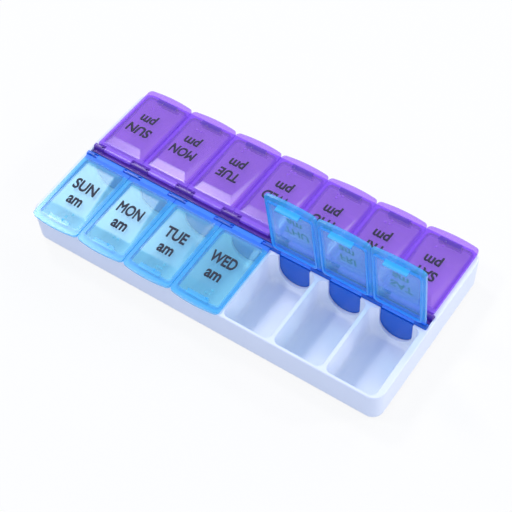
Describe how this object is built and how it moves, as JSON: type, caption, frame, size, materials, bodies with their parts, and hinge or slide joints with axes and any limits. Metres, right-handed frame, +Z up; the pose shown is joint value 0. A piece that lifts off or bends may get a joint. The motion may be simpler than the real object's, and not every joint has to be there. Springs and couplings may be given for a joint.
{
  "type": "weekly pill organizer",
  "caption": "Weekly morning and evening pill organizer: a shallow white tray of compartments, each closed by its own translucent hinged lid",
  "frame": {"origin": "centre of the flat underside", "axes": "+X along the week from the first day to the last, -Y towards the morning row, +Y towards the evening row, +Z up"},
  "size_m": [0.2152, 0.1068, 0.0727],
  "materials": {
    "tray_plastic": "white moulded polypropylene, smooth and slightly glossy",
    "blue_rail": "deep blue tinted plastic, smooth",
    "purple_rail": "deep purple tinted plastic, smooth",
    "blue_lid": "translucent sky blue plastic, glossy",
    "purple_lid": "translucent purple plastic, glossy"
  },
  "bodies": {
    "base": {"tray": "tray_plastic", "am_hinge_rail": "blue_rail", "pm_hinge_rail": "purple_rail"},
    "am_lid_sun": {"am_lid_sun": "blue_lid"},
    "am_lid_mon": {"am_lid_mon": "blue_lid"},
    "am_lid_tue": {"am_lid_tue": "blue_lid"},
    "am_lid_wed": {"am_lid_wed": "blue_lid"},
    "am_lid_thu": {"am_lid_thu": "blue_lid"},
    "am_lid_fri": {"am_lid_fri": "blue_lid"},
    "am_lid_sat": {"am_lid_sat": "blue_lid"},
    "pm_lid_sun": {"pm_lid_sun": "purple_lid"},
    "pm_lid_mon": {"pm_lid_mon": "purple_lid"},
    "pm_lid_tue": {"pm_lid_tue": "purple_lid"},
    "pm_lid_wed": {"pm_lid_wed": "purple_lid"},
    "pm_lid_thu": {"pm_lid_thu": "purple_lid"},
    "pm_lid_fri": {"pm_lid_fri": "purple_lid"},
    "pm_lid_sat": {"pm_lid_sat": "purple_lid"}
  },
  "joints": [
    {"name": "am_hinge_sun", "type": "hinge", "parent": "base", "child": "am_lid_sun", "pos_m": [-0.09, -0.0032, 0.0226], "axis": [-1, 0, 0], "range_deg": [0, 85.8]},
    {"name": "am_hinge_mon", "type": "hinge", "parent": "base", "child": "am_lid_mon", "pos_m": [-0.06, -0.0032, 0.0226], "axis": [-1, 0, 0], "range_deg": [0, 85.8]},
    {"name": "am_hinge_tue", "type": "hinge", "parent": "base", "child": "am_lid_tue", "pos_m": [-0.03, -0.0032, 0.0226], "axis": [-1, 0, 0], "range_deg": [0, 85.8]},
    {"name": "am_hinge_wed", "type": "hinge", "parent": "base", "child": "am_lid_wed", "pos_m": [0, -0.0032, 0.0226], "axis": [-1, 0, 0], "range_deg": [0, 85.8]},
    {"name": "am_hinge_thu", "type": "hinge", "parent": "base", "child": "am_lid_thu", "pos_m": [0.03, -0.0032, 0.0226], "axis": [-1, 0, 0], "range_deg": [-85.8, 0]},
    {"name": "am_hinge_fri", "type": "hinge", "parent": "base", "child": "am_lid_fri", "pos_m": [0.06, -0.0032, 0.0226], "axis": [-1, 0, 0], "range_deg": [-85.8, 0]},
    {"name": "am_hinge_sat", "type": "hinge", "parent": "base", "child": "am_lid_sat", "pos_m": [0.09, -0.0032, 0.0226], "axis": [-1, 0, 0], "range_deg": [-85.8, 0]},
    {"name": "pm_hinge_sun", "type": "hinge", "parent": "base", "child": "pm_lid_sun", "pos_m": [-0.09, 0.0032, 0.0226], "axis": [1, 0, 0], "range_deg": [0, 85.8]},
    {"name": "pm_hinge_mon", "type": "hinge", "parent": "base", "child": "pm_lid_mon", "pos_m": [-0.06, 0.0032, 0.0226], "axis": [1, 0, 0], "range_deg": [0, 85.8]},
    {"name": "pm_hinge_tue", "type": "hinge", "parent": "base", "child": "pm_lid_tue", "pos_m": [-0.03, 0.0032, 0.0226], "axis": [1, 0, 0], "range_deg": [0, 85.8]},
    {"name": "pm_hinge_wed", "type": "hinge", "parent": "base", "child": "pm_lid_wed", "pos_m": [0, 0.0032, 0.0226], "axis": [1, 0, 0], "range_deg": [0, 85.8]},
    {"name": "pm_hinge_thu", "type": "hinge", "parent": "base", "child": "pm_lid_thu", "pos_m": [0.03, 0.0032, 0.0226], "axis": [1, 0, 0], "range_deg": [0, 85.8]},
    {"name": "pm_hinge_fri", "type": "hinge", "parent": "base", "child": "pm_lid_fri", "pos_m": [0.06, 0.0032, 0.0226], "axis": [1, 0, 0], "range_deg": [0, 85.8]},
    {"name": "pm_hinge_sat", "type": "hinge", "parent": "base", "child": "pm_lid_sat", "pos_m": [0.09, 0.0032, 0.0226], "axis": [1, 0, 0], "range_deg": [0, 85.8]}
  ]
}
